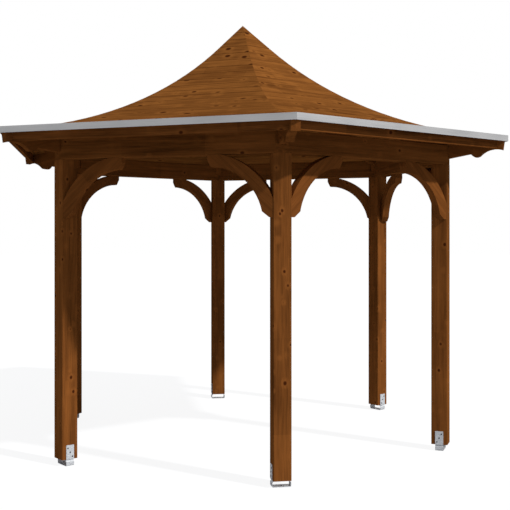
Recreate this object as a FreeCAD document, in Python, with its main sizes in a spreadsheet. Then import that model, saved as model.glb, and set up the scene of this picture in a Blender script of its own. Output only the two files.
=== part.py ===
# Hexagonal garden pavilion in glued softwood: six posts on folded steel shoes, a ring of
# mitred beams on the posts with curved knee braces, curved hip rafters and a bell-shaped
# boarded roof.
#
# Frame: millimetres, +Z up, origin on the ground at the middle of the hexagon.
# Posts stand at 0, 60, 120 ... degrees from +X. A bay lies between two posts, so the bay
# normals point to 30, 90, 150 ... degrees, and the front bay faces -Y.
# Every piece is drawn once in its own frame, with its post or its bay on +X, and is then
# turned about Z to its place.
import FreeCAD, Part
import Sketcher
import os

doc = FreeCAD.newDocument("pavilion")

SIDES = 6
FULL_TURN = 360
SECTOR = FULL_TURN / SIDES
HALF_SECTOR = SECTOR / 2
CUBIC_MM_PER_LITRE = 1e6

# How far cutting outlines reach past a piece, by much and by little, how closely an edge's
# length is matched when it is picked, how near two points touch, and the most of either
# slope that the bend takes
MARGIN = "100"
OVERCUT = "1"
EDGE_MATCH = 1
TOUCHING = 1e-6
MOST_OF_SLOPE = "0.995"

# Driving dimensions in millimetres, angles in degrees.
DRIVING_SIZES = {
    # Posts
    "post_ring_radius": 1606,
    "post_width": 120,
    "post_foot_height": 46,
    "post_edge_chamfer": 4,
    # Ring beams
    "beam_thickness": 120,
    "beam_height": 145,
    "beam_underside_height": 2150,
    "beam_setback": 5,
    "beam_edge_chamfer": 3,
    "beam_mitre_gap": 0.1,
    # Knee braces, measured from the post's face and from the underside of the beam
    "brace_thickness": 60,
    "brace_run": 460,
    "brace_drop": 412,
    "brace_foot_width": 28,
    "brace_foot_lift": 38,
    "brace_foot_reach": 77,
    "brace_head_length": 34,
    "brace_head_slope": 24,
    "brace_head_depth": 80,
    "brace_inner_radius": 372,
    "brace_outer_radius": 595,
    "brace_post_contact": 190,
    "brace_beam_contact": 157,
    # Hip rafters
    "rafter_width": 60,
    "rafter_seat_lift": 55,
    "rafter_heel": 66,
    "rafter_king_depth": 160,
    "rafter_under_radius": 3500,
    "notch_clearance": 0.5,
    "seat_gap": 0.3,
    # Rafter tails, measured in from the corner of the eave and down from its edge
    "tail_setback": 34,
    "tail_end_lean": 9,
    "tail_tip_drop": 88,
    "tail_cove_radius": 150,
    "tail_cove_length": 161,
    "tail_nose_drop": 127,
    "tail_nose_radius": 46,
    "tail_nose_length": 65,
    "tail_nose_rise": 7,
    "tail_notch_length": 7,
    "tail_notch_drop": 111,
    # King block that the rafters meet on
    "king_overhang": 40,
    # Roof shell, whose two slopes would meet at slopes_meet_reach from the middle
    "upper_pitch": 45.3,
    "eave_pitch": 6.4,
    "slopes_meet_reach": 878.2,
    "bend_radius": 2660,
    "eave_overhang": 351.2,
    "eave_lift": 186,
    "board_thickness": 20,
    # Fascia boards
    "fascia_setback": 52,
    "fascia_thickness": 28,
    "fascia_drop": 76,
    # Drip edge
    "drip_thickness": 2,
    "drip_lip": 20,
    "drip_drop": 24,
    "drip_flange": 50,
    "drip_mitre_gap": 0.1,
    # Post shoes
    "shoe_width": 60,
    "shoe_thickness": 4,
    "shoe_leg_height": 146,
    "shoe_ledge": 10,
    "shoe_fold_height": 12,
    "shoe_corner": 10,
    "shoe_screw_hole": 6,
    "shoe_screw_pitch": 30,
    "shoe_screw_stagger": 17,
    "shoe_screw_middle": 95,
    "anchor_hole": 14,
}

sheet = doc.addObject("Spreadsheet::Sheet", "Sizes")
for row, (alias, number) in enumerate(DRIVING_SIZES.items(), start=1):
    sheet.set(f"A{row}", alias)
    sheet.set(f"B{row}", str(number))
    sheet.setAlias(f"B{row}", alias)
doc.recompute()


def value(expression):
    """The number that an expression on the sheet gives now."""
    return float(sheet.evalExpression(expression))


def plane_of(body, role):
    """One of the body's own origin planes."""
    for feature in body.Origin.OriginFeatures:
        if feature.Role == role:
            return feature
    raise ValueError(role)


def new_body(label):
    """A body whose label is the name of the piece."""
    body = doc.addObject("PartDesign::Body", label)
    body.Label = label
    return body


def new_sketch(body, name, role, offset=None, turn=0):
    """A sketch on an origin plane, moved off it by an expression or turned about upright."""
    sketch = body.newObject("Sketcher::SketchObject", name)
    sketch.AttachmentSupport = [(plane_of(body, role), "")]
    sketch.MapMode = "FlatFace"
    if turn:
        upright = FreeCAD.Vector(0, 1, 0)
        sketch.AttachmentOffset = FreeCAD.Placement(FreeCAD.Vector(), FreeCAD.Rotation(upright, turn))
    if offset:
        sketch.setExpression("AttachmentOffset.Base.z", offset)
    return sketch


def pin(sketch, edge, end, x, y):
    """Ties one end of an edge to its two coordinates, each an expression."""
    for kind, expression in (("DistanceX", x), ("DistanceY", y)):
        number = value(expression)
        index = sketch.addConstraint(Sketcher.Constraint(kind, -1, 1, edge, end, number))
        sketch.setExpression(f"Constraints[{index}]", expression)


def outline(sketch, corners):
    """A closed outline. A corner is (x, y), or (x, y, radius, side) where an arc leaves it
    for the next corner, its middle to the left (side 1) or to the right (side -1)."""
    first = sketch.GeometryCount
    points = [FreeCAD.Vector(value(c[0]), value(c[1]), 0) for c in corners]
    count = len(corners)
    starts = []
    for i, corner in enumerate(corners):
        here, there = points[i], points[(i + 1) % count]
        if len(corner) == 2:
            sketch.addGeometry(Part.LineSegment(here, there))
            starts.append((1, 2))
            continue
        radius, side = value(corner[2]), corner[3]
        chord = there - here
        across = FreeCAD.Vector(-chord.y, chord.x, 0).normalize()
        rise = (radius ** 2 - (chord.Length / 2) ** 2) ** 0.5
        middle = (here + there) * 0.5 + across * (side * rise)
        bulge = middle - across * (side * radius)
        sketch.addGeometry(Part.Arc(here, bulge, there))
        edge = sketch.GeometryCount - 1
        begins_here = sketch.getPoint(edge, 1).distanceToPoint(here) < TOUCHING
        starts.append((1, 2) if begins_here else (2, 1))
    for i, corner in enumerate(corners):
        following = (i + 1) % count
        joint = (first + i, starts[i][1], first + following, starts[following][0])
        sketch.addConstraint(Sketcher.Constraint("Coincident", *joint))
        pin(sketch, first + i, starts[i][0], corner[0], corner[1])
        if len(corner) == 4:
            radius = Sketcher.Constraint("Radius", first + i, value(corner[2]))
            sketch.setExpression(f"Constraints[{sketch.addConstraint(radius)}]", corner[2])
    return sketch


def round_hole(sketch, x, y, diameter):
    """A circle whose middle and diameter are expressions."""
    middle = FreeCAD.Vector(value(x), value(y), 0)
    edge = sketch.addGeometry(Part.Circle(middle, FreeCAD.Vector(0, 0, 1), value(diameter) / 2))
    pin(sketch, edge, 3, x, y)
    size = sketch.addConstraint(Sketcher.Constraint("Diameter", edge, value(diameter)))
    sketch.setExpression(f"Constraints[{size}]", diameter)


def pad(body, sketch, length, midplane=False):
    """Gives an outline its thickness."""
    feature = body.newObject("PartDesign::Pad", sketch.Name + "_pad")
    feature.Profile = sketch
    feature.Midplane = midplane
    feature.setExpression("Length", length)
    sketch.Visibility = False
    return feature


def pocket_all(body, sketch):
    """Cuts an outline away through the whole piece, to both sides of its plane."""
    feature = body.newObject("PartDesign::Pocket", sketch.Name + "_pocket")
    feature.Profile = sketch
    feature.Type = "ThroughAll"
    feature.Midplane = True
    return feature


def pocket_up(body, sketch):
    """Cuts an outline away from its plane upwards."""
    feature = body.newObject("PartDesign::Pocket", sketch.Name + "_pocket")
    feature.Profile = sketch
    feature.Type = "ThroughAll"
    feature.Reversed = True
    return feature


def turned(body, degrees):
    """Turns a finished piece about the middle of the hexagon."""
    upright = FreeCAD.Vector(0, 0, 1)
    body.Placement = FreeCAD.Placement(FreeCAD.Vector(), FreeCAD.Rotation(upright, degrees))
    return body


def chamfer_edges(body, feature, wanted, size):
    """Chamfers the edges of the body's last feature that the test picks."""
    doc.recompute()
    names = [f"Edge{i + 1}" for i, edge in enumerate(feature.Shape.Edges) if wanted(edge)]
    chamfer = body.newObject("PartDesign::Chamfer", feature.Name + "_chamfer")
    chamfer.Base = (feature, names)
    chamfer.setExpression("Size", size)
    return chamfer


# Expressions that several pieces share
HALF_TAN = f"tan({HALF_SECTOR})"
HALF_COS = f"cos({HALF_SECTOR})"
HALF_SIN = f"sin({HALF_SECTOR})"
POST_HALF = "Sizes.post_width / 2"
RAFTER_HALF = "Sizes.rafter_width / 2"
POST_OUTER = f"(Sizes.post_ring_radius + {POST_HALF})"
POST_INNER = f"(Sizes.post_ring_radius - {POST_HALF})"
# Distance from the middle to the outer face of beams and braces: the plane through the
# outward corners of two posts, less the setback
BEAM_REACH = f"({POST_OUTER} * {HALF_COS} + {POST_HALF} * {HALF_SIN} - Sizes.beam_setback)"
# Distance from the middle to the outer corner where two beams meet, which ends the seats
BEAM_CORNER = f"({BEAM_REACH} / {HALF_COS})"


def side_plane(reach, half_width):
    """Half the length, at a distance from the middle, between two radial pieces' sides."""
    return f"(({reach}) * {HALF_TAN} - ({half_width}) / {HALF_COS})"


# Roof section across one side: its slopes, where they would meet and the size of the bend
PITCH_TAN = "tan(Sizes.upper_pitch)"
EAVE_TAN = "tan(Sizes.eave_pitch)"
EAVE = "(Sizes.beam_underside_height + Sizes.eave_lift)"
EAVE_REACH = f"({BEAM_REACH} + Sizes.eave_overhang)"
MEETING = "Sizes.slopes_meet_reach"
APEX = f"({EAVE} + ({EAVE_REACH} - {MEETING}) * {EAVE_TAN} + {MEETING} * {PITCH_TAN})"
LOWER_SLOPE = f"(({EAVE_REACH} - {MEETING}) / cos(Sizes.eave_pitch))"
UPPER_SLOPE = f"({MEETING} / cos(Sizes.upper_pitch))"
HALF_BEND_TAN = "tan((Sizes.upper_pitch - Sizes.eave_pitch) / 2)"
SHORTER_SLOPE = f"min({LOWER_SLOPE}; {UPPER_SLOPE})"
BEND_RADIUS = f"min(Sizes.bend_radius; {MOST_OF_SLOPE} * {SHORTER_SLOPE} / {HALF_BEND_TAN})"

# Where pieces lie that follow the eave, the tails or the ring of beams
SEAT = "(Sizes.beam_underside_height + Sizes.rafter_seat_lift)"
FASCIA_REACH = f"({EAVE_REACH} - Sizes.fascia_setback)"
FASCIA_UNDER = f"({EAVE} - Sizes.fascia_drop)"
DRIP_UNDER = f"({EAVE} - Sizes.drip_drop)"
DRIP_TOP = f"({EAVE} + Sizes.drip_lip)"
TAIL_REACH = f"({EAVE_REACH} / {HALF_COS} - Sizes.tail_setback)"


def roof_section(drop):
    """The roof's section across one side, at a square distance below its top surface."""
    apex = f"({APEX} - ({drop}) / cos(Sizes.upper_pitch))"
    eave = f"({EAVE} - ({drop}) / cos(Sizes.eave_pitch))"
    meeting = f"(({apex} - {eave} - {EAVE_REACH} * {EAVE_TAN}) / ({PITCH_TAN} - {EAVE_TAN}))"
    radius = f"({BEND_RADIUS} + {drop})"
    bend = f"({radius} * {HALF_BEND_TAN})"
    start = f"({meeting} - {bend} * cos(Sizes.upper_pitch))"
    end = f"({meeting} + {bend} * cos(Sizes.eave_pitch))"
    return {
        "apex": apex,
        "start": (start, f"({apex} - {start} * {PITCH_TAN})"),
        "end": (end, f"({eave} + ({EAVE_REACH} - {end}) * {EAVE_TAN})"),
        "radius": radius,
        "eave": eave,
    }


def roof_height(drop, reach):
    """Height of the roof's section in its bend or on its lower slope."""
    section = roof_section(drop)
    end, end_height = section["end"]
    middle = f"({end} + {section['radius']} * sin(Sizes.eave_pitch))"
    middle_height = f"({end_height} + {section['radius']} * cos(Sizes.eave_pitch))"
    in_bend = f"({middle_height} - sqrt(({section['radius']})^2 - (({reach}) - {middle})^2))"
    on_slope = f"({section['eave']} + ({EAVE_REACH} - ({reach})) * {EAVE_TAN})"
    return f"(({reach}) < {end} ? {in_bend} : {on_slope})"


# The rafters' heads: the face of the king block that they meet, and their underside there
KING_FACE = f"({RAFTER_HALF} / {HALF_TAN})"
UNDER_APEX = roof_section("Sizes.board_thickness")["apex"]
HEAD_UNDER = f"({UNDER_APEX} - {KING_FACE} * {HALF_COS} * {PITCH_TAN} - Sizes.rafter_king_depth)"


def roof_region(sketch, drop, above):
    """The area above, or below, the roof's section in a plane square to the eave."""
    section = roof_section(drop)
    beyond = f"({EAVE_REACH} + {MARGIN})"
    beyond_height = f"({section['eave']} - {MARGIN} * {EAVE_TAN})"
    closing = f"({APEX} + {MARGIN})" if above else f"({section['eave']} - 2 * {MARGIN})"
    inside = f"(0 - {MARGIN})"
    return outline(sketch, [
        ("0", section["apex"]),
        (*section["start"], section["radius"], 1),
        section["end"],
        (beyond, beyond_height),
        (beyond, closing),
        (inside, closing),
        (inside, section["apex"]),
    ])


def cut_under_roof(body, name, turn):
    """Cuts off what stands above the underside of the boards of one side."""
    sketch = new_sketch(body, name, "XZ_Plane", turn=turn)
    roof_region(sketch, "(Sizes.board_thickness + Sizes.seat_gap)", above=True)
    return pocket_all(body, sketch)


def cut_ends(body, name, inner, outer, half_width, gap="0", above=None):
    """Cuts both ends of a bay's piece along the sides of the radial pieces it meets, all
    the way up or only above a height."""
    near = f"({side_plane(inner, half_width)} - ({gap}))"
    far = f"({side_plane(outer, half_width)} - ({gap}))"
    clear = f"({far} + {MARGIN})"
    for side, word in ((1, "left"), (-1, "right")):
        sketch = new_sketch(body, f"{name}_{word}", "XY_Plane", offset=above)
        outline(sketch, [
            (inner, f"{side} * {near}"),
            (outer, f"{side} * {far}"),
            (outer, f"{side} * {clear}"),
            (inner, f"{side} * {clear}"),
        ])
        if above:
            pocket_up(body, sketch)
        else:
            pocket_all(body, sketch)


def make_post(number, turn):
    """A square post under the ring of beams, chamfered along its edges."""
    body = new_body(f"post_{number}")
    sketch = new_sketch(body, f"post_section_{number}", "XY_Plane", offset="Sizes.post_foot_height")
    outline(sketch, [
        (POST_INNER, f"0 - {POST_HALF}"),
        (POST_OUTER, f"0 - {POST_HALF}"),
        (POST_OUTER, POST_HALF),
        (POST_INNER, POST_HALF),
    ])
    length = "Sizes.beam_underside_height - Sizes.post_foot_height"
    shaft = pad(body, sketch, length)
    upright = value(length)
    chamfer_edges(body, shaft, lambda edge: abs(edge.Length - upright) < EDGE_MATCH,
                  "Sizes.post_edge_chamfer")
    return turned(body, turn)


def make_shoe(number, turn):
    """A folded steel strap: base, bulging sides, a ledge under the post and two legs."""
    body = new_body(f"post_shoe_{number}")
    sketch = new_sketch(body, f"shoe_fold_{number}", "YZ_Plane", offset="Sizes.post_ring_radius")
    steel = "Sizes.shoe_thickness"
    face = POST_HALF
    foot = "Sizes.post_foot_height"
    corner = "Sizes.shoe_corner"
    half = [
        (f"{face} + {steel} - {corner}", "0", corner, 1),
        (f"{face} + {steel}", corner),
        (f"{face} + {steel}", f"{foot} - Sizes.shoe_fold_height - {steel}"),
        (f"{face} + {steel} - Sizes.shoe_ledge", f"{foot} - {steel}"),
        (f"{face} + {steel}", foot),
        (f"{face} + {steel}", "Sizes.shoe_leg_height"),
        (face, "Sizes.shoe_leg_height"),
        (face, foot),
        (f"{face} - Sizes.shoe_ledge", foot),
        (f"{face} - Sizes.shoe_ledge", f"{foot} - {steel}"),
        (face, f"{foot} - Sizes.shoe_fold_height - {steel}"),
        (face, steel),
    ]
    other = []
    for i in range(len(half) - 1, -1, -1):
        before = half[i - 1] if i else half[-1]
        arc = before[2:] if i and len(before) == 4 else ()
        other.append((f"0 - ({half[i][0]})", half[i][1], *arc))
    outline(sketch, half + other)
    pad(body, sketch, "Sizes.shoe_width", midplane=True)
    screws = new_sketch(body, f"shoe_screws_{number}", "XZ_Plane")
    for step in (-1, 0, 1):
        along = f"Sizes.post_ring_radius + {step} * Sizes.shoe_screw_stagger"
        up = f"Sizes.shoe_screw_middle + {step} * Sizes.shoe_screw_pitch"
        round_hole(screws, along, up, "Sizes.shoe_screw_hole")
    pocket_all(body, screws)
    anchor = new_sketch(body, f"shoe_anchor_{number}", "XY_Plane")
    round_hole(anchor, "Sizes.post_ring_radius", "0", "Sizes.anchor_hole")
    pocket_all(body, anchor)
    return turned(body, turn)


def make_beam(number, turn):
    """A ring beam on two posts, mitred to its neighbours and notched for the rafters."""
    body = new_body(f"ring_beam_{number}")
    sketch = new_sketch(body, f"beam_plan_{number}", "XY_Plane", offset="Sizes.beam_underside_height")
    inner = f"({BEAM_REACH} - Sizes.beam_thickness)"
    near = side_plane(inner, "Sizes.beam_mitre_gap")
    far = side_plane(BEAM_REACH, "Sizes.beam_mitre_gap")
    outline(sketch, [
        (inner, f"0 - {near}"),
        (BEAM_REACH, f"0 - {far}"),
        (BEAM_REACH, far),
        (inner, near),
    ])
    stick = pad(body, sketch, "Sizes.beam_height")
    shortest = value(f"2 * {near}") - EDGE_MATCH
    chamfer_edges(body, stick, lambda edge: edge.Length > shortest, "Sizes.beam_edge_chamfer")
    notch_half = f"({RAFTER_HALF} + Sizes.notch_clearance / 2)"
    cut_ends(body, f"beam_notch_{number}", f"({inner} - {OVERCUT})", f"({BEAM_REACH} + {OVERCUT})",
             notch_half, above=SEAT)
    return turned(body, turn)


def make_braces(number, turn):
    """The two curved knee braces of a bay, with cut feet and heads."""
    body = new_body(f"knee_braces_{number}")
    body.AllowCompound = True
    inner = f"({BEAM_REACH} - Sizes.brace_thickness)"
    face = side_plane(BEAM_REACH, POST_HALF)
    under = "Sizes.beam_underside_height"
    sketch = new_sketch(body, f"brace_outline_{number}", "YZ_Plane", offset=inner)

    for side in (1, -1):

        def corner(out, down, *arc):
            bend = (arc[0], arc[1] * side) if arc else ()
            return (f"{side} * ({face} - ({out}))", f"{under} - ({down})", *bend)

        outline(sketch, [
            corner("0", "Sizes.brace_drop"),
            corner("0", "Sizes.brace_drop - Sizes.brace_post_contact", "Sizes.brace_outer_radius", 1),
            corner("Sizes.brace_run - Sizes.brace_beam_contact", "0"),
            corner("Sizes.brace_run", "0"),
            corner("Sizes.brace_run", "Sizes.brace_head_length"),
            corner("Sizes.brace_run - Sizes.brace_head_slope", "Sizes.brace_head_depth",
                   "Sizes.brace_inner_radius", -1),
            corner("Sizes.brace_foot_reach", "Sizes.brace_drop - Sizes.brace_foot_lift"),
            corner("Sizes.brace_foot_width", "Sizes.brace_drop"),
        ])
    pad(body, sketch, "Sizes.brace_thickness")
    cut_ends(body, f"brace_cut_{number}", f"({inner} - {OVERCUT})", f"({BEAM_REACH} + {OVERCUT})", POST_HALF)
    return turned(body, turn)


def make_rafter(number, turn):
    """A hip rafter: backed top, curved underside, heel and seat on the beams, and a tail."""
    body = new_body(f"hip_rafter_{number}")
    sketch = new_sketch(body, f"rafter_side_{number}", "XZ_Plane")
    nose_start = f"({TAIL_REACH} - Sizes.tail_cove_length)"
    nose_end = f"({nose_start} - Sizes.tail_nose_length)"
    tail_top = f"{TAIL_REACH} + Sizes.tail_end_lean"
    outline(sketch, [
        (KING_FACE, APEX),
        (KING_FACE, HEAD_UNDER, "Sizes.rafter_under_radius", 1),
        (POST_INNER, f"{SEAT} + Sizes.rafter_heel"),
        (POST_INNER, SEAT),
        (BEAM_CORNER, SEAT),
        (f"{nose_end} - Sizes.tail_notch_length", f"{EAVE} - Sizes.tail_notch_drop"),
        (nose_end, f"{EAVE} - Sizes.tail_nose_drop + Sizes.tail_nose_rise",
         "Sizes.tail_nose_radius", 1),
        (nose_start, f"{EAVE} - Sizes.tail_nose_drop", "Sizes.tail_cove_radius", -1),
        (TAIL_REACH, f"{EAVE} - Sizes.tail_tip_drop"),
        (tail_top, DRIP_UNDER),
        (tail_top, APEX),
    ])
    pad(body, sketch, "Sizes.rafter_width", midplane=True)
    cut_under_roof(body, f"rafter_backing_left_{number}", HALF_SECTOR)
    cut_under_roof(body, f"rafter_backing_right_{number}", -HALF_SECTOR)
    return turned(body, turn)


def make_king_block():
    """The six-sided block under the apex that the rafters' heads are fixed to."""
    body = new_body("king_block")
    bottom = f"({HEAD_UNDER} - Sizes.king_overhang)"
    sketch = new_sketch(body, "king_section", "XY_Plane", offset=bottom)
    corners = []
    for i in range(SIDES):
        angle = HALF_SECTOR + i * SECTOR
        corners.append((f"Sizes.rafter_width * cos({angle})", f"Sizes.rafter_width * sin({angle})"))
    outline(sketch, corners)
    pad(body, sketch, f"{APEX} - {bottom}")
    first = cut_under_roof(body, "king_point", HALF_SECTOR)
    pattern = body.newObject("PartDesign::PolarPattern", "king_points")
    pattern.Originals = [first]
    pattern.Axis = (next(f for f in body.Origin.OriginFeatures if f.Role == "Z_Axis"), [""])
    pattern.Angle = FULL_TURN
    pattern.Occurrences = SIDES
    body.Tip = pattern
    return body


def make_fascia(number, turn):
    """A fascia board between two rafter tails, planed to the boards above it."""
    body = new_body(f"fascia_board_{number}")
    sketch = new_sketch(body, f"fascia_plan_{number}", "XY_Plane", offset=FASCIA_UNDER)
    inner = f"({FASCIA_REACH} - Sizes.fascia_thickness)"
    near, far = side_plane(inner, RAFTER_HALF), side_plane(FASCIA_REACH, RAFTER_HALF)
    outline(sketch, [
        (inner, f"0 - {near}"),
        (FASCIA_REACH, f"0 - {far}"),
        (FASCIA_REACH, far),
        (inner, near),
    ])
    pad(body, sketch, "Sizes.fascia_drop")
    cut_under_roof(body, f"fascia_bevel_{number}", 0)
    return turned(body, turn)


def make_panel(number, turn):
    """One side of the bell roof, as thick as its boards and mitred at the hips."""
    body = new_body(f"roof_panel_{number}")
    below_eave = f"({EAVE} - 2 * Sizes.board_thickness)"
    sketch = new_sketch(body, f"panel_plan_{number}", "XY_Plane", offset=below_eave)
    half_side = f"{EAVE_REACH} * {HALF_TAN}"
    outline(sketch, [
        ("0", "0"),
        (EAVE_REACH, f"0 - {half_side}"),
        (EAVE_REACH, half_side),
    ])
    pad(body, sketch, f"{APEX} - {below_eave}")
    top = new_sketch(body, f"panel_top_{number}", "XZ_Plane")
    roof_region(top, "0", above=True)
    pocket_all(body, top)
    bottom = new_sketch(body, f"panel_underside_{number}", "XZ_Plane")
    roof_region(bottom, "Sizes.board_thickness", above=False)
    pocket_all(body, bottom)
    return turned(body, turn)


def make_drip_edge(label, turns):
    """Folded metal drip edges on every other side of the eave."""
    lengths = []
    for turn in turns:
        body = new_body(f"{label}_{turn:.0f}")
        sketch = new_sketch(body, f"drip_section_{turn:.0f}", "XZ_Plane")
        inner = f"({EAVE_REACH} - Sizes.drip_flange)"
        outer = f"({EAVE_REACH} + Sizes.drip_thickness)"
        on_boards = roof_height("0", inner)
        outline(sketch, [
            (EAVE_REACH, DRIP_UNDER),
            (outer, DRIP_UNDER),
            (outer, DRIP_TOP),
            (EAVE_REACH, DRIP_TOP),
            (EAVE_REACH, f"{EAVE} + Sizes.drip_thickness"),
            (inner, f"{on_boards} + Sizes.drip_thickness"),
            (inner, on_boards),
            (EAVE_REACH, EAVE),
        ])
        pad(body, sketch, f"2 * {outer} * {HALF_TAN}", midplane=True)
        cut_ends(body, f"drip_mitre_{turn:.0f}", f"({inner} - {OVERCUT})", f"({outer} + {OVERCUT})",
                 "0", "Sizes.drip_mitre_gap")
        lengths.append(turned(body, turn))
    return lengths


pieces = []
for side in range(SIDES):
    number = side + 1
    at_post = side * SECTOR
    at_bay = at_post + HALF_SECTOR
    pieces.append(make_post(number, at_post))
    pieces.append(make_shoe(number, at_post))
    pieces.append(make_beam(number, at_bay))
    pieces.append(make_braces(number, at_bay))
    pieces.append(make_rafter(number, at_post))
    pieces.append(make_fascia(number, at_bay))
    pieces.append(make_panel(number, at_bay))
pieces.append(make_king_block())

drip_sets = {
    "drip_edge_a": make_drip_edge("drip_edge_a", [HALF_SECTOR + i * 2 * SECTOR for i in range(3)]),
    "drip_edge_b": make_drip_edge("drip_edge_b", [3 * HALF_SECTOR + i * 2 * SECTOR for i in range(3)]),
}
for label, lengths in drip_sets.items():
    drip_set = doc.addObject("Part::Compound", label)
    drip_set.Label = label
    drip_set.Links = lengths
    pieces.append(drip_set)

doc.recompute()

for feature in doc.Objects:
    if "Invalid" in feature.State or "Error" in feature.State:
        raise RuntimeError(f"{feature.Label} did not build: {feature.State}")
for piece in pieces:
    if piece.Shape.isNull() or not piece.Shape.isValid() or not piece.Shape.Solids:
        raise RuntimeError(f"{piece.Label} has no valid shape")

os.makedirs("parts", exist_ok=True)
for piece in pieces:
    piece.Shape.exportStep(f"parts/{piece.Label}.step")
    litres = piece.Shape.Volume / CUBIC_MM_PER_LITRE
    print(piece.Label, len(piece.Shape.Solids), "solids", round(litres, 3), "litres")
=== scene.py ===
# %% [markdown]
# # A hexagonal garden pavilion
# The pavilion is walnut-stained softwood: six posts on folded steel shoes, a ring of beams
# with curved braces, shaped hip rafters and a bell-shaped roof of narrow boards. The timbers
# are already modelled in CAD and load as a fixed frame, in metres with Z up. This lesson adds
# the roof's boards and the small fixings, models the ring beams and the knee braces once more
# in their finished form, and then makes every finish, the light and the view.

# %% Load the frame
import math

import bmesh
import bpy
from mathutils import Matrix, Vector


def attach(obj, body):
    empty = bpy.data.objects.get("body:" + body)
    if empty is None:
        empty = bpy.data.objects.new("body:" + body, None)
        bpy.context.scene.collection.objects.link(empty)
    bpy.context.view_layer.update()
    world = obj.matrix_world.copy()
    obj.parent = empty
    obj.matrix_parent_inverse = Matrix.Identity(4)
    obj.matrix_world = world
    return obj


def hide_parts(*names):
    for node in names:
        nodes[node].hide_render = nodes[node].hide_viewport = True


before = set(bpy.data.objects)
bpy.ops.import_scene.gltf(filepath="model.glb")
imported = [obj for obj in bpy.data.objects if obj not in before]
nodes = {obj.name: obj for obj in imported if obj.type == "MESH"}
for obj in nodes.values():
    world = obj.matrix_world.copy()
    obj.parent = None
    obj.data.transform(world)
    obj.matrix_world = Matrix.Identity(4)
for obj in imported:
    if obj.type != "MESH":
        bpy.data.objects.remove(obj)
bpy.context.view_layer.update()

print(len(nodes), "timbers and metal parts loaded")

# %% [markdown]
# ## Where things are
# Posts stand every 60 degrees from +X, and a bay lies between two posts. Pieces are modelled
# once with their post or bay on +X, and copies are turned to the other five places. The same
# few numbers that shaped the roof in CAD are written here again, in metres.

# %% Sizes of the pavilion
SIDES = range(1, 7)
SECTOR = math.radians(60)
POST_RING = 1.606
POST_HALF = 0.060
UPPER_PITCH = math.radians(45.3)
EAVE_PITCH = math.radians(6.4)
BEND_RADIUS = 2.660
SLOPES_MEET = 0.8782
EAVE_REACH = 1.8190
EAVE_HEIGHT = 2.3360
BOARD_THICKNESS = 0.020


def post_angle(number):
    """The angle of a post, numbered from 1, about the middle of the pavilion."""
    return (number - 1) * SECTOR


def bay_angle(number):
    """The angle of a bay's middle, numbered from 1."""
    return (number - 0.5) * SECTOR


print("bays face", [round(math.degrees(bay_angle(k))) for k in SIDES], "degrees")

# %% [markdown]
# ## Working by hand, in code
# Modelling operators act on whatever is selected, so each piece starts from an empty
# selection, and faces or edges are then picked by their place. Copies get their own mesh,
# already turned to its place, so every finished object stays at the origin.

# %% Helpers for modelling
def select_only(piece=None):
    """Deselects everything, and then picks one object if it is given."""
    bpy.ops.object.select_all(action="DESELECT")
    if piece:
        piece.select_set(True)
        bpy.context.view_layer.objects.active = piece


def pick(piece, kind, test):
    """Selects the faces, edges or corners of a mesh in edit mode that a test picks."""
    bpy.ops.mesh.select_mode(type=kind)
    bpy.ops.mesh.select_all(action="DESELECT")
    shape = bmesh.from_edit_mesh(piece.data)
    parts = {"VERT": shape.verts, "EDGE": shape.edges, "FACE": shape.faces}[kind]
    chosen = [part for part in parts if test(part)]
    for part in chosen:
        part.select_set(True)
    bmesh.update_edit_mesh(piece.data)
    return len(chosen)


def settle():
    """Writes an object's place, turn and scale into its mesh."""
    bpy.ops.object.transform_apply(location=True, rotation=True, scale=True)


def copy_to(piece, name, place):
    """A copy with its own mesh, moved by a matrix."""
    mesh = piece.data.copy()
    mesh.transform(place)
    copy = bpy.data.objects.new(name, mesh)
    bpy.context.scene.collection.objects.link(copy)
    return copy


def join(pieces, name):
    """Joins several objects into one."""
    select_only(pieces[0])
    for piece in pieces:
        piece.select_set(True)
    bpy.ops.object.join()
    joined = bpy.context.object
    joined.name = name
    joined.data.name = name
    return joined


def carve(piece, cutter, work):
    """Cuts a piece with a cutter, or keeps what both share, and removes the cutter."""
    select_only(piece)
    bpy.ops.object.modifier_add(type="BOOLEAN")
    piece.modifiers[0].object = cutter
    piece.modifiers[0].operation = work
    bpy.ops.object.modifier_apply(modifier=piece.modifiers[0].name)
    bpy.data.objects.remove(cutter)


print("modelling helpers ready")

# %% [markdown]
# ## The line of the roof
# Seen from the side, the roof falls steeply from its point, bends through one large arc and
# runs out almost level at the eave. Boards are laid by their distance down that slope, so one
# function turns such a distance into a point and a pitch.

# %% Slope of the roof
HALF_BEND = BEND_RADIUS * math.tan((UPPER_PITCH - EAVE_PITCH) / 2)
APEX = (EAVE_HEIGHT + (EAVE_REACH - SLOPES_MEET) * math.tan(EAVE_PITCH)
        + SLOPES_MEET * math.tan(UPPER_PITCH))
BEND_START = SLOPES_MEET - HALF_BEND * math.cos(UPPER_PITCH)
STEEP_LENGTH = BEND_START / math.cos(UPPER_PITCH)
BEND_LENGTH = BEND_RADIUS * (UPPER_PITCH - EAVE_PITCH)
BEND_END = SLOPES_MEET + HALF_BEND * math.cos(EAVE_PITCH)
SLOPE_LENGTH = STEEP_LENGTH + BEND_LENGTH + (EAVE_REACH - BEND_END) / math.cos(EAVE_PITCH)
BEND_MIDDLE = Vector((BEND_START + BEND_RADIUS * math.sin(UPPER_PITCH), 0,
                      APEX - BEND_START * math.tan(UPPER_PITCH) + BEND_RADIUS * math.cos(UPPER_PITCH)))


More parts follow.
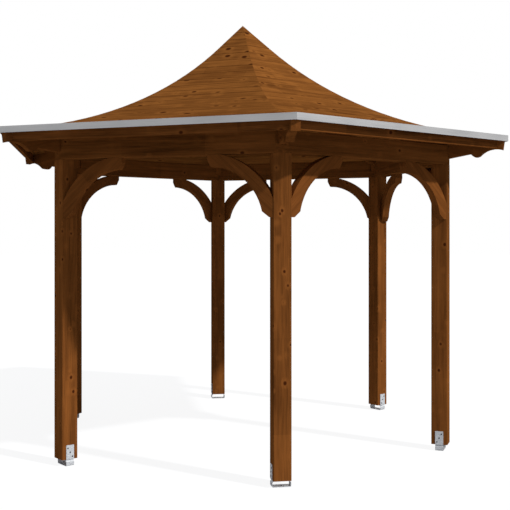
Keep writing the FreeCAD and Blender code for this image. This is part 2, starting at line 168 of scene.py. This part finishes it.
def roof_point(down):
    """The point on the roof's top surface at a distance down the slope from its apex."""
    if down < STEEP_LENGTH:
        return Vector((down * math.cos(UPPER_PITCH), 0, APEX - down * math.sin(UPPER_PITCH)))
    if down < STEEP_LENGTH + BEND_LENGTH:
        pitch = UPPER_PITCH - (down - STEEP_LENGTH) / BEND_RADIUS
        return BEND_MIDDLE - BEND_RADIUS * Vector((math.sin(pitch), 0, math.cos(pitch)))
    left = SLOPE_LENGTH - down
    return Vector((EAVE_REACH - left * math.cos(EAVE_PITCH), 0,
                   EAVE_HEIGHT + left * math.sin(EAVE_PITCH)))


print("slope", round(SLOPE_LENGTH, 3), "m long, apex at", round(APEX, 3), "m")

# %% [markdown]
# ## One roof board
# The roof is clad in tongue and groove boards, about 96 mm wide and 20 mm thick. A bevel
# along both upper edges makes the V groove that shows between neighbours. The tongue is
# inset and extruded from one side, so that no daylight shows through a joint. A flat map
# holds each point's place along and across the board, which the grain will follow.

# %% Model the board
COURSES = 22
BOARD_WIDTH = SLOPE_LENGTH / COURSES
BOARD_LENGTH = 2.2
GROOVE = 0.0022
TONGUE = 0.007
BOARD_MAP = "board_place"


def model_board():
    """A board with its upper side at height 0, its tongue pointing to -X."""
    select_only()
    bpy.ops.mesh.primitive_cube_add(size=1, location=(0, 0, -BOARD_THICKNESS / 2),
                                    scale=(BOARD_WIDTH, BOARD_LENGTH, BOARD_THICKNESS))
    board = bpy.context.object
    settle()
    bpy.ops.object.mode_set(mode="EDIT")
    pick(board, "EDGE", lambda e: all(v.co.z > -1e-6 for v in e.verts)
         and abs(e.verts[0].co.x - e.verts[1].co.x) < 1e-6)
    bpy.ops.mesh.bevel(offset=GROOVE, segments=1, affect="EDGES")
    pick(board, "FACE", lambda f: f.normal.x < -0.99)
    bpy.ops.mesh.inset(thickness=TONGUE / 1.2)
    bpy.ops.mesh.extrude_region_move(TRANSFORM_OT_translate={"value": (-TONGUE, 0, 0)})
    bpy.ops.object.mode_set(mode="OBJECT")
    layer = board.data.uv_layers[0]
    layer.name = BOARD_MAP
    for loop in board.data.loops:
        spot = board.data.vertices[loop.vertex_index].co
        layer.data[loop.index].uv = (spot.y, spot.x)
    return board


board = model_board()
print("board", round(BOARD_WIDTH * 1000, 1), "mm wide,", len(board.data.polygons), "faces")

# %% [markdown]
# ## One side of the roof
# Each course is a flat board set between two points of the slope, as a carpenter lays it. Its
# ends are then cut by the upright planes through the two hips, which gives the mitred joint.

# %% Lay and mitre the courses
def shift_map(mesh, along, across):
    """Moves a piece's flat map, so that no two boards show the same grain."""
    for corner in mesh.uv_layers[BOARD_MAP].data:
        corner.uv = (corner.uv[0] + along, corner.uv[1] + across)


def lay_course(number):
    """The board between two points of the slope, mitred at both hips."""
    upper, lower = roof_point(number * BOARD_WIDTH), roof_point((number + 1) * BOARD_WIDTH)
    fall = (lower - upper).normalized()
    upright = Vector((-fall.z, 0, fall.x))
    middle = (upper + lower) / 2
    place = Matrix((
        (fall.x, 0, upright.x, middle.x),
        (0, 1, 0, 0),
        (fall.z, 0, upright.z, middle.z),
        (0, 0, 0, 1),
    ))
    course = copy_to(board, f"course_{number}", place)
    shift_map(course.data, 0, (number + 0.5) * BOARD_WIDTH)
    select_only(course)
    bpy.ops.object.mode_set(mode="EDIT")
    for side in (1, -1):
        bpy.ops.mesh.select_all(action="SELECT")
        hip = (-math.sin(SECTOR / 2), side * math.cos(SECTOR / 2), 0)
        bpy.ops.mesh.bisect(plane_co=(0, 0, 0), plane_no=hip, use_fill=True, clear_outer=True)
    bpy.ops.object.mode_set(mode="OBJECT")
    return course


one_side = join([lay_course(number) for number in range(COURSES)], "one_side")
print("one side has", len(one_side.data.polygons), "faces")

# %% [markdown]
# ## All six sides
# The finished side is copied to each bay, and each copy stands for that bay's plain CAD
# panel, which stays behind for the physics.

# %% Copy the boards round the roof
roof_boards = []
for number in SIDES:
    side = copy_to(one_side, f"roof_boards_{number}", Matrix.Rotation(bay_angle(number), 4, "Z"))
    shift_map(side.data, 5.3 * number, 0)
    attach(side, "root")
    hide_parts(f"roof_panel_{number}")
    roof_boards.append(side)
for spare in (board, one_side):
    bpy.data.objects.remove(spare)
print(len(roof_boards), "sides boarded")

# %% [markdown]
# ## One ring beam
# The beams lie on the posts and meet over each in a mitre. A carpenter saws the corner that
# the mitre makes off flush with the post's outer face, and notches both ends for the rafter
# that crosses them. The block is a cube with its long edges planed off. Upright planes then
# cut the mitre and the flush end, and the notch is taken out with a boolean, which is the
# easiest way to cut a step that doesn't run through the whole timber.

# %% Model a ring beam
BEAM_UNDER, BEAM_TOP = 2.150, 2.295
BEAM_OUTER, BEAM_INNER = 1.4678, 1.3478
BEAM_CHAMFER = 0.003
MITRE_GAP = 0.0001
NOTCH_FLOOR, NOTCH_HALF = 2.205, 0.03025
NOTCH_LENGTH, NOTCH_HEIGHT = 0.5, 0.2


def notch_cutter(side):
    """A block where the rafter crosses the beam, on one side of the bay."""
    select_only()
    bpy.ops.mesh.primitive_cube_add(size=1, location=(POST_RING, 0, NOTCH_FLOOR + NOTCH_HEIGHT / 2),
                                    scale=(NOTCH_LENGTH, 2 * NOTCH_HALF, NOTCH_HEIGHT))
    cutter = bpy.context.object
    settle()
    cutter.data.transform(Matrix.Rotation(side * SECTOR / 2, 4, "Z"))
    return cutter


def model_beam():
    """A ring beam in a bay on +X, mitred, sawn off flush with the posts and notched."""
    select_only()
    bpy.ops.mesh.primitive_cube_add(
        size=1, location=((BEAM_INNER + BEAM_OUTER) / 2, 0, (BEAM_UNDER + BEAM_TOP) / 2),
        scale=(BEAM_OUTER - BEAM_INNER, 2 * BEAM_OUTER, BEAM_TOP - BEAM_UNDER))
    beam = bpy.context.object
    settle()
    bpy.ops.object.mode_set(mode="EDIT")
    pick(beam, "EDGE", lambda e: abs(e.verts[0].co.y - e.verts[1].co.y) > BEAM_OUTER)
    bpy.ops.mesh.bevel(offset=BEAM_CHAMFER, segments=1, affect="EDGES")
    for side in (1, -1):
        mitre = Vector((-math.sin(SECTOR / 2), side * math.cos(SECTOR / 2), 0))
        flush = Vector((math.cos(SECTOR / 2), side * math.sin(SECTOR / 2), 0))
        for normal, distance in ((mitre, -MITRE_GAP), (flush, POST_RING + POST_HALF)):
            bpy.ops.mesh.select_all(action="SELECT")
            bpy.ops.mesh.bisect(plane_co=normal * distance, plane_no=normal, use_fill=True,
                                clear_outer=True)
    bpy.ops.object.mode_set(mode="OBJECT")
    for side in (1, -1):
        carve(beam, notch_cutter(side), "DIFFERENCE")
    return beam


beam = model_beam()
print("beam", [round(size, 3) for size in beam.dimensions], "m,", len(beam.data.polygons), "faces")

# %% Lay the ring of beams
ring_beams = []
for number in SIDES:
    laid = copy_to(beam, f"sawn_beam_{number}", Matrix.Rotation(bay_angle(number), 4, "Z"))
    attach(laid, "root")
    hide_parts(f"ring_beam_{number}")
    ring_beams.append(laid)
bpy.data.objects.remove(beam)
print(len(ring_beams), "beams in the ring")

# %% [markdown]
# ## A pair of knee braces
# Each bay has two curved braces between its posts and its beam, and their slender curve gives
# the bay its arch. A joiner marks both arcs on a plank and saws along them. Here too, the
# blank is a plank, a disc cuts out the arc on the open side, and the plank is kept where it
# lies inside a larger disc, which rounds its back. Straight cuts make the foot and the head
# and fit the end to the post, and a mirror modifier adds the other brace of the bay. An arc
# is written as how far its centre lies out from the post and down from the beam, and its
# radius, and a cut as its two ends in the same way.

# %% Model a pair of braces
BRACE_THICKNESS, BRACE_RUN, BRACE_DROP = 0.060, 0.460, 0.412
BRACE_FACE = BEAM_OUTER * math.tan(SECTOR / 2) - POST_HALF / math.cos(SECTOR / 2)
BACK_ARC = (0.4755, 0.5098, 0.5219)
OPEN_ARC = (0.441, 0.452, 0.372)
FOOT_CUT = ((0.028, 0.412), (0.077, 0.374))
HEAD_CUT = ((0.436, 0.080), (0.460, 0.034))
DISC_DEPTH = 0.2


def in_bay(out, down, x=0.0):
    """The place that is so far out from the post's face and so far down from the beam."""
    return Vector((x, BRACE_FACE - out, BEAM_UNDER - down))


def disc(out, down, radius):
    """A round cutter that stands square to the bay."""
    select_only()
    middle = BEAM_OUTER - BRACE_THICKNESS / 2
    bpy.ops.mesh.primitive_cylinder_add(vertices=128, radius=radius, depth=DISC_DEPTH,
                                        location=in_bay(out, down, middle),
                                        rotation=(0, math.pi / 2, 0))
    cutter = bpy.context.object
    settle()
    return cutter


def saw(first, second):
    """Cuts straight along a line from one place to another and drops what lies below it."""
    a, b = in_bay(*first), in_bay(*second)
    along = b - a
    normal = Vector((0, -along.z, along.y)).normalized()
    if normal.z > 0:
        normal = -normal
    bpy.ops.mesh.select_all(action="SELECT")
    bpy.ops.mesh.bisect(plane_co=a, plane_no=normal, use_fill=True, clear_outer=True)


def model_braces():
    """Both curved braces of a bay on +X."""
    select_only()
    bpy.ops.mesh.primitive_cube_add(
        size=1, location=in_bay(BRACE_RUN / 2, BRACE_DROP / 2, BEAM_OUTER - BRACE_THICKNESS / 2),
        scale=(BRACE_THICKNESS, BRACE_RUN, BRACE_DROP))
    brace = bpy.context.object
    settle()
    carve(brace, disc(*BACK_ARC), "INTERSECT")
    carve(brace, disc(*OPEN_ARC), "DIFFERENCE")
    bpy.ops.object.mode_set(mode="EDIT")
    saw(*FOOT_CUT)
    saw(*HEAD_CUT)
    post_side = Vector((-math.sin(SECTOR / 2), math.cos(SECTOR / 2), 0))
    bpy.ops.mesh.select_all(action="SELECT")
    bpy.ops.mesh.bisect(plane_co=post_side * -POST_HALF, plane_no=post_side, use_fill=True,
                        clear_outer=True)
    bpy.ops.object.mode_set(mode="OBJECT")
    bpy.ops.object.modifier_add(type="MIRROR")
    brace.modifiers[0].use_axis = (False, True, False)
    bpy.ops.object.modifier_apply(modifier=brace.modifiers[0].name)
    bpy.ops.object.shade_smooth_by_angle(angle=math.radians(20))
    return brace


braces = model_braces()
print("braces", [round(size, 3) for size in braces.dimensions], "m,", len(braces.data.polygons), "faces")

# %% Put a pair of braces in each bay
bay_braces = []
for number in SIDES:
    fitted = copy_to(braces, f"curved_braces_{number}", Matrix.Rotation(bay_angle(number), 4, "Z"))
    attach(fitted, "root")
    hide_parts(f"knee_braces_{number}")
    bay_braces.append(fitted)
bpy.data.objects.remove(braces)
print(len(bay_braces), "pairs of braces")

# %% [markdown]
# ## Screws in the shoes
# Each leg of a shoe is held to its post by three dark screws. A head starts as a low disc.
# Its top is inset and drawn up into a dome, then inset again and pressed down for the recess.

# %% Model a screw head
SCREW_RADIUS = 0.0052
SCREW_RISE = 0.0024
STRAP_THICKNESS = 0.004
LEG_FACE = POST_HALF + STRAP_THICKNESS
SCREW_PLACES = [(-0.017, 0.065), (0.000, 0.095), (0.017, 0.125)]


def model_screw():
    """A low domed screw head that stands on height 0."""
    select_only()
    bpy.ops.mesh.primitive_cylinder_add(vertices=16, radius=SCREW_RADIUS, depth=0.0010,
                                        location=(0, 0, 0.0005))
    screw = bpy.context.object
    settle()
    bpy.ops.object.mode_set(mode="EDIT")
    pick(screw, "FACE", lambda f: f.normal.z > 0.99)
    bpy.ops.mesh.inset(thickness=0.0006)
    bpy.ops.mesh.extrude_region_move(TRANSFORM_OT_translate={"value": (0, 0, SCREW_RISE - 0.0010)})
    bpy.ops.mesh.bevel(offset=0.0006, segments=2, affect="EDGES")
    pick(screw, "FACE", lambda f: f.normal.z > 0.99 and f.calc_center_median().z > SCREW_RISE - 1e-4)
    bpy.ops.mesh.inset(thickness=0.0009)
    bpy.ops.mesh.extrude_region_move(TRANSFORM_OT_translate={"value": (0, 0, -0.0011)})
    bpy.ops.object.mode_set(mode="OBJECT")
    return screw


screw = model_screw()
print("screw head,", len(screw.data.polygons), "faces")

# %% Set the screws in all twelve legs
def screws_of_post(number):
    """The six screw heads of one shoe, three on each leg."""
    heads = []
    turn = Matrix.Rotation(post_angle(number), 4, "Z")
    for side in (1, -1):
        lie_down = Matrix.Rotation(-side * math.pi / 2, 4, "X")
        for out, up in SCREW_PLACES:
            spot = Matrix.Translation((POST_RING + out, side * LEG_FACE, up))
            heads.append(copy_to(screw, "screw", turn @ spot @ lie_down))
    return join(heads, f"shoe_screws_{number}")


shoe_screws = [screws_of_post(number) for number in SIDES]
bpy.data.objects.remove(screw)
for heads in shoe_screws:
    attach(heads, "root")
print(len(shoe_screws), "sets of screws")

# %% [markdown]
# ## Sums with sockets
# A procedural finish is a long sum of patterns. This small class wraps a node's socket, so
# that such a sum can be written as plain Python, and one method adds any other node.

# %% A socket that can be used in sums
class Signal:
    """A value, vector or colour that runs through a material's nodes."""

    def __init__(self, tree, socket=None):
        self.tree = tree
        self.socket = socket

    def add(self, kind, settings=None, sockets=None, out=0):
        """Adds a node: its settings first, then its sockets' values or links."""
        node = self.tree.nodes.new(kind)
        for name, setting in (settings or {}).items():
            setattr(node, name, setting)
        for name, value in (sockets or {}).items():
            if isinstance(value, Signal):
                self.tree.links.new(value.socket, node.inputs[name])
            else:
                node.inputs[name].default_value = value
        return Signal(self.tree, node.outputs[out] if len(node.outputs) else None)

    def other(self, out):
        """Another output of the same node."""
        return Signal(self.tree, self.socket.node.outputs[out])

    def maths(self, operation, *others):
        """A Math node on this value and any others, in this order."""
        return self.add("ShaderNodeMath", {"operation": operation}, dict(enumerate((self, *others))))

    def under(self, operation, first):
        """A Math node with this value as the second one."""
        return self.add("ShaderNodeMath", {"operation": operation}, {0: first, 1: self})

    def __add__(self, other):
        return self.maths("ADD", other)

    __radd__ = __add__

    def __sub__(self, other):
        return self.maths("SUBTRACT", other)

    def __rsub__(self, other):
        return self.under("SUBTRACT", other)

    def __mul__(self, other):
        return self.maths("MULTIPLY", other)

    __rmul__ = __mul__

    def __truediv__(self, other):
        return self.maths("DIVIDE", other)

    def __rtruediv__(self, other):
        return self.under("DIVIDE", other)

    def between(self, low, high):
        """0 below low, 1 above high and a smooth step between them."""
        return self.add("ShaderNodeMapRange", {"interpolation_type": "SMOOTHSTEP"},
                        {"Value": self, "From Min": low, "From Max": high})

    def mix(self, below, above):
        """A colour that goes from one to another as this value goes from 0 to 1."""
        return self.add("ShaderNodeMix", {"data_type": "RGBA", "clamp_factor": True},
                        {0: self, 6: below, 7: above}, out=2)


def paint(red, green, blue):
    """A colour as it is seen on screen, 0 to 255, as the linear colour that shaders use."""
    def linear(level):
        level /= 255
        return level / 12.92 if level <= 0.04045 else ((level + 0.055) / 1.055) ** 2.4
    return (linear(red), linear(green), linear(blue), 1.0)


def new_finish(name):
    """An empty node material, and a signal to start its sums from."""
    material = bpy.data.materials.new(name)
    material.use_nodes = True
    material.node_tree.nodes.clear()
    return material, Signal(material.node_tree)


def close_finish(start, sockets):
    """Ends a material in a Principled shader with these sockets."""
    shader = start.add("ShaderNodeBsdfPrincipled", {}, sockets)
    start.add("ShaderNodeOutputMaterial", {}, {"Surface": shader})


print("walnut brown is", [round(v, 3) for v in paint(120, 70, 30)])

# %% [markdown]
# ## Grain that follows each timber
# All timbers share one object space, so grain needs to know which way its own timber runs.
# The pavilion repeats every 60 degrees: turning each point back to the first post or bay
# gives a frame with an outward, a sideways and an upward distance, and the number of turns
# serves as a seed that makes the six timbers differ.

# %% Frames for the grain
def turned_back(start, first):
    """Outward, sideways and upward distances in the nearest post's or bay's own frame."""
    place = start.add("ShaderNodeTexCoord", out="Object")
    parts = place.add("ShaderNodeSeparateXYZ", {}, {0: place})
    x, y, z = parts, parts.other(1), parts.other(2)
    sector = ((y.maths("ARCTAN2", x) - first) / SECTOR).maths("ROUND")
    turn = sector * SECTOR + first
    cosine, sine = turn.maths("COSINE"), turn.maths("SINE")
    return x * cosine + y * sine, y * cosine - x * sine, z, sector


def post_grain(start):
    """Grain that runs up the post."""
    out, side, up, sector = turned_back(start, 0.0)
    return up, side, out - POST_RING, sector


def bay_grain(start):
    """Grain that runs along a beam or a fascia board."""
    out, side, up, sector = turned_back(start, SECTOR / 2)
    return side, up, out, sector


def brace_grain(start):
    """Grain that runs from a brace's foot on the post to its head under the beam."""
    out, side, up, sector = turned_back(start, SECTOR / 2)
    inwards = side.maths("ABSOLUTE")
    hand = side.maths("SIGN")
    lean = math.atan2(BRACE_DROP, BRACE_RUN)
    along = up * math.sin(lean) - inwards * math.cos(lean)
    across = up * math.cos(lean) + inwards * math.sin(lean)
    return along, across, out, sector * 2 + hand


def rafter_grain(start):
    """Grain that runs down a rafter and out through its tail."""
    out, side, up, sector = turned_back(start, 0.0)
    fall = math.radians(16)
    along = out * math.cos(fall) - up * math.sin(fall)
    across = out * math.sin(fall) + up * math.cos(fall)
    return along, across, side, sector


def king_grain(start):
    """Grain that runs up the king block."""
    place = start.add("ShaderNodeTexCoord", out="Object")
    parts = place.add("ShaderNodeSeparateXYZ", {}, {0: place})
    return parts.other(2), parts, parts.other(1), parts * 0.0


print("five ways of grain ready")

# %% [markdown]
# ## Stained softwood
# Spruce under a walnut stain shows four things: broad lighter and darker streaks, growth
# rings, fine fibres and small knots. The rings are circles round a pith that lies beside the
# timber, so faces show lines and cut ends show arcs, as in real wood. A knot is a dark
# spot with a lighter rim, and it pushes the rings aside. The timbers are glued from thin
# layers, and those from shorter lengths, so each length of a layer gets a tone of its own.

# %% Build the wood
LAYER, LENGTH = 0.040, 0.62
PITH_ASIDE, PITH_BEHIND = 0.035, 0.050
RING_WIDTH = 0.0085
KNOT_BROWN = paint(58, 22, 8)


def pattern(spot, detail=2.0, roughness=0.5):
    """A noise at a spot that is three signals, centred on 0."""
    vector = spot[0].add("ShaderNodeCombineXYZ", {}, dict(enumerate(spot)))
    return vector.add("ShaderNodeTexNoise", {"noise_dimensions": "3D"},
                      {"Vector": vector, "Scale": 1.0, "Detail": detail, "Roughness": roughness}) - 0.5


def knots(along, across, depth, share, spacing):
    """The core and the rim of scattered knots, each from 0 to 1."""
    spot = (along / (spacing * 1.25), across / spacing, depth / spacing)
    vector = along.add("ShaderNodeCombineXYZ", {}, dict(enumerate(spot)))
    cells = vector.add("ShaderNodeTexVoronoi", {"feature": "F1"}, {"Vector": vector, "Scale": 1.0})
    chance = cells.add("ShaderNodeSeparateColor", {}, {0: cells.other(1)})
    there = 1 - chance.between(share, share + 0.02)
    size = 0.10 + chance * 0.14
    core = (1 - (cells / size).between(0.5, 1.1)) * there
    rim = (1 - (cells / size).between(0.9, 2.8)) * there
    return core, rim


def layers(along, depth, seed):
    """A tone from 0 to 1 for each length of wood in each glued layer."""
    layer = (depth / LAYER).maths("FLOOR")
    length = (along / LENGTH + layer * 0.43).maths("FLOOR")
    vector = layer.add("ShaderNodeCombineXYZ", {}, {0: layer, 1: length, 2: seed})
    return vector.add("ShaderNodeTexWhiteNoise", {"noise_dimensions": "3D"}, {"Vector": vector})


def stained_wood(name, grain, dark, light, spacing, share, streaks=1.0, painted_shade=None):
    """Softwood under a walnut stain, with its grain along a timber."""
    material, start = new_finish(name)
    along, across, depth, seed = grain(start)
    along = along + seed * 3.71
    wander = pattern((along * 1.1, across * 5, depth * 5))
    core, rim = knots(along + wander * 0.03, across + seed * 0.37 + wander * 0.01, depth, share, spacing)
    pith_across = across + PITH_ASIDE
    pith_depth = depth + PITH_BEHIND
    radius = (pith_across * pith_across + pith_depth * pith_depth).maths("SQRT")
    ring = (radius + wander * 0.045 + rim * 0.006) * (2 * math.pi / RING_WIDTH)
    growth = ring.maths("SINE") * 0.5 + 0.5
    fibre = pattern((along * 9, across * 330, depth * 330), 3.0, 0.6)
    streak = pattern((along * 1.8, across * 42, depth * 42), 3.0, 0.65)
    cloud = pattern((along * 2.6, across * 7, depth * 7), 3.0, 0.55)
    tone = layers(along, depth, seed) - 0.5
    shade = 0.54 + streaks * streak * 1.1 + cloud * 0.75 + fibre * 0.7 + tone * 0.22 - growth * 0.14
    wood = shade.mix(dark, light)
    wood = (rim * 0.5).mix(wood, light)
    wood = (core * 0.9).mix(wood, KNOT_BROWN)
    # Painted shade, such as the dark line along the boards' grooves, pulls the wood towards knot brown.
    if painted_shade:
        wood = (painted_shade(start) * 0.5).mix(wood, KNOT_BROWN)
    height = growth * 0.5 + fibre * 1.2 - core * 0.8
    bump = height.add("ShaderNodeBump", {}, {"Strength": 0.35, "Distance": 0.0008, "Height": height})
    close_finish(start, {"Base Color": wood, "Roughness": 0.82 + fibre * 0.25, "Normal": bump,
                         "Specular IOR Level": 0.0})
    return material


timber = {
    "post": stained_wood("walnut_stain_posts", post_grain,
                         paint(88, 50, 21), paint(150, 90, 41), spacing=0.075, share=0.6),
    "beam": stained_wood("walnut_stain_beams", bay_grain,
                         paint(78, 44, 18), paint(134, 80, 36), spacing=0.085, share=0.5, streaks=1.4),
    "brace": stained_wood("walnut_stain_braces", brace_grain,
                          paint(84, 47, 19), paint(140, 83, 38), spacing=0.09, share=0.6, streaks=0.8),
    "rafter": stained_wood("walnut_stain_rafters", rafter_grain,
                           paint(84, 47, 19), paint(138, 82, 37), spacing=0.09, share=0.5),
    "fascia": stained_wood("walnut_stain_fascia", bay_grain,
                           paint(76, 42, 17), paint(136, 81, 37), spacing=0.09, share=0.5, streaks=1.8),
    "king": stained_wood("walnut_stain_king", king_grain,
                         paint(80, 45, 18), paint(132, 78, 35), spacing=0.09, share=0.0),
}
print(len(timber), "wood finishes")

# %% [markdown]
# ## The roof boards' finish
# The boards take the same stain. Their map gives the place along and across a board, and the
# number of the course, from the distance down the slope, gives each board its own tone. A thin
# dark line of painted shade is drawn along the V groove between two boards, where shade falls,
# so the wood takes one more signal that is 1 in the groove.

# %% Build the boards' wood
# Painted shade along each V groove: full within the first distance of a board's edge, gone by the second.
GROOVE_SHADE_FULL, GROOVE_SHADE_FADE = 0.0012, 0.0050


def board_grain(start):
    """Grain that runs along each board, with the course's number as its seed."""
    place = start.add("ShaderNodeUVMap", {"uv_map": BOARD_MAP})
    parts = place.add("ShaderNodeSeparateXYZ", {}, {0: place})
    down = parts.other(1)
    course = (down / BOARD_WIDTH).maths("FLOOR")
    return parts, down, course * LAYER, course


def painted_groove_shade(start):
    """Painted shade in the groove between two boards: 1 in the groove and 0 on their faces."""
    place = start.add("ShaderNodeUVMap", {"uv_map": BOARD_MAP})
    down = place.add("ShaderNodeSeparateXYZ", {}, {0: place}, out=1)
    part = (down / BOARD_WIDTH).maths("FRACT")
    edge = (0.5 - (part - 0.5).maths("ABSOLUTE")) * BOARD_WIDTH
    return 1 - edge.between(GROOVE_SHADE_FULL, GROOVE_SHADE_FADE)


# The boards' grooves get a thin dark line of painted shade.
timber["boards"] = stained_wood("walnut_stain_boards", board_grain, paint(98, 56, 23), paint(158, 99, 45),
                                spacing=0.12, share=0.95, streaks=1.3, painted_shade=painted_groove_shade)
for side in roof_boards:
    side.data.materials.append(timber["boards"])
print("boards finished")

# %% [markdown]
# ## Metal
# The drip edge is satin aluminium, drawn lengthways, so its fine lines follow each bay. The
# shoes are hot-dip galvanised: dull zinc with the faint patches of its crystals.

# %% Build the metals
def satin_aluminium():
    """Satin aluminium with fine drawing lines along the eave."""
    material, start = new_finish("satin_aluminium")
    out, side, up, sector = turned_back(start, SECTOR / 2)
    lines = pattern((side * 2.0, up * 420, out * 420), 2.0, 0.6)
    blotch = pattern((side * 3.0, up * 12, out * 12))
    tone = 0.5 + lines * 0.9 + blotch * 0.8
    bump = lines.add("ShaderNodeBump", {}, {"Strength": 0.15, "Distance": 0.0003, "Height": lines})
    close_finish(start, {"Base Color": tone.mix(paint(156, 156, 156), paint(198, 196, 194)),
                         "Metallic": 0.45, "Roughness": 0.44 + lines * 0.25 + blotch * 0.15,
                         "Normal": bump})
    return material


def galvanised_steel():
    """Hot-dip zinc with its faint crystal patches."""
    material, start = new_finish("galvanised_steel")
    place = start.add("ShaderNodeTexCoord", out="Object")
    crystals = place.add("ShaderNodeTexVoronoi", {"feature": "F1"}, {"Vector": place, "Scale": 130.0})
    shade = crystals.add("ShaderNodeSeparateColor", {}, {0: crystals.other(1)})
    cloud = place.add("ShaderNodeTexNoise", {}, {"Vector": place, "Scale": 22.0, "Detail": 3.0})
    tone = shade * 0.45 + cloud * 0.7
    bump = tone.add("ShaderNodeBump", {}, {"Strength": 0.12, "Distance": 0.0003, "Height": tone})
    close_finish(start, {"Base Color": tone.mix(paint(182, 185, 188), paint(226, 228, 229)),
                         "Metallic": 0.35, "Roughness": 0.42 + shade * 0.16, "Normal": bump})
    return material


def dark_screw():
    """Dark coated steel, worn a little lighter in places."""
    material, start = new_finish("dark_screw")
    place = start.add("ShaderNodeTexCoord", out="Object")
    wear = place.add("ShaderNodeTexNoise", {}, {"Vector": place, "Scale": 420.0, "Detail": 2.0})
    close_finish(start, {"Base Color": wear.between(0.45, 0.75).mix(paint(18, 17, 17), paint(40, 38, 37)),
                         "Metallic": 0.1, "Roughness": 0.60 + wear * 0.2})
    return material


metal = {"drip": satin_aluminium(), "shoe": galvanised_steel(), "screw": dark_screw()}
print(sorted(metal), "finished")

# %% [markdown]
# ## Dress the timbers
# The CAD parts keep their shape and only change their finish, so the material goes into the
# slot that each one already has.

# %% Give every part its finish
FINISH_OF = {
    "post_shoe": metal["shoe"], "post": timber["post"], "ring_beam": timber["beam"],
    "knee_braces": timber["brace"], "hip_rafter": timber["rafter"],
    "fascia_board": timber["fascia"], "king_block": timber["king"], "drip_edge": metal["drip"],
}


def dress(part, finish):
    """Puts a finish into each of a part's material slots."""
    if not part.material_slots:
        part.data.materials.append(finish)
    for slot in part.material_slots:
        slot.material = finish


dressed = 0
for name, part in nodes.items():
    for start_of_name, finish in FINISH_OF.items():
        if name.startswith(start_of_name):
            dress(part, finish)
            dressed += 1
            break
for heads in shoe_screws:
    dress(heads, metal["screw"])
for laid in ring_beams:
    dress(laid, timber["beam"])
for fitted in bay_braces:
    dress(fitted, timber["brace"])
print(dressed, "CAD parts dressed")

# %% [markdown]
# ## Floor and backdrop
# The pavilion stands on a plain pale floor that runs out of sight. Lamps and bounced light
# see the floor as pale paint. The camera sees the same paint partly lit from within, so that
# it meets the white backdrop without a seam and still keeps the pavilion's shadow.

# %% Lay the floor
FLOOR_RADIUS = 60
FLOOR_DROP = 0.0006


def lay_floor():
    """A large pale floor just under the shoes."""
    select_only()
    bpy.ops.mesh.primitive_circle_add(vertices=64, radius=FLOOR_RADIUS, fill_type="NGON",
                                      location=(0, 0, -FLOOR_DROP))
    floor = bpy.context.object
    floor.name = "floor"
    settle()
    material, start = new_finish("pale_floor")
    seen = start.add("ShaderNodeLightPath", out="Is Camera Ray")
    paint_coat = start.add("ShaderNodeBsdfDiffuse", {}, {"Color": (0.60, 0.60, 0.60, 1)})
    soft_coat = start.add("ShaderNodeBsdfDiffuse", {}, {"Color": (0.15, 0.15, 0.15, 1)})
    glow = start.add("ShaderNodeEmission", {}, {"Color": (1, 1, 1, 1), "Strength": 0.90})
    lit = start.add("ShaderNodeAddShader", {}, {0: soft_coat, 1: glow})
    both = start.add("ShaderNodeMixShader", {}, {0: seen, 1: paint_coat, 2: lit})
    start.add("ShaderNodeOutputMaterial", {}, {"Surface": both})
    floor.data.materials.append(material)
    return floor


floor = lay_floor()
print("floor", round(floor.dimensions.x), "m across")

# %% [markdown]
# ## Light
# One lamp stands high on the right and a little in front, and gives the lit and shaded faces
# of the posts and the eave's shadow on them. The rest is an even, weak and slightly cool light
# from all round, as from a daylight studio's walls, and it is plain white only where the
# camera or a reflection looks at it.

# %% Set the lamps and the backdrop
AMBIENT = 0.36
COOL = (0.80, 0.86, 1.0, 1)


def set_lamp(name, azimuth, elevation, strength, spread):
    """A distant lamp, by where it stands in degrees."""
    lamp = bpy.data.lights.new(name, "SUN")
    lamp.energy = strength
    lamp.angle = math.radians(spread)
    holder = bpy.data.objects.new(name, lamp)
    a, e = math.radians(azimuth), math.radians(elevation)
    towards = Vector((math.cos(a) * math.cos(e), math.sin(a) * math.cos(e), math.sin(e)))
    holder.rotation_euler = towards.to_track_quat("Z", "Y").to_euler()
    bpy.context.scene.collection.objects.link(holder)


def set_backdrop():
    """An even weak light that looks white to the camera and in reflections."""
    world = bpy.data.worlds.new("studio")
    bpy.context.scene.world = world
    world.use_nodes = True
    world.node_tree.nodes.clear()
    start = Signal(world.node_tree)
    path = start.add("ShaderNodeLightPath", out="Is Camera Ray")
    seen = path.maths("MAXIMUM", path.other("Is Glossy Ray"))
    seen = seen.maths("MAXIMUM", path.other("Is Transmission Ray"))
    level = AMBIENT + seen * (1 - AMBIENT)
    tint = seen.mix(COOL, (1, 1, 1, 1))
    light = start.add("ShaderNodeBackground", {}, {"Color": tint, "Strength": level})
    start.add("ShaderNodeOutputWorld", {}, {"Surface": light})


set_lamp("key", azimuth=-13.5, elevation=39, strength=2.6, spread=2)
set_backdrop()
print("lamp and backdrop set")

# %% [markdown]
# ## The view
# The camera stands at eye height, level, 7.5 m from the middle and a little right of the
# front bay. A level camera keeps the posts upright in the picture, and a small shift puts
# the pavilion in its frame.

# %% Place the camera
EYE = (2.7327, -7.0446, 1.6461)
TURN = math.radians(20.604)
FOCAL_LENGTH, SENSOR = 65.18, 36.0
SHIFT = (0.0052, -0.0461)


def place_camera():
    """A level camera at eye height."""
    lens = bpy.data.cameras.new("view")
    lens.sensor_width = SENSOR
    lens.lens = FOCAL_LENGTH
    lens.shift_x, lens.shift_y = SHIFT
    camera = bpy.data.objects.new("view", lens)
    camera.location = EYE
    camera.rotation_euler = (math.pi / 2, 0, TURN)
    bpy.context.scene.collection.objects.link(camera)
    bpy.context.scene.camera = camera
    return camera


camera = place_camera()
bpy.context.scene.view_settings.view_transform = "Standard"
print("camera at", [round(v, 2) for v in camera.location])
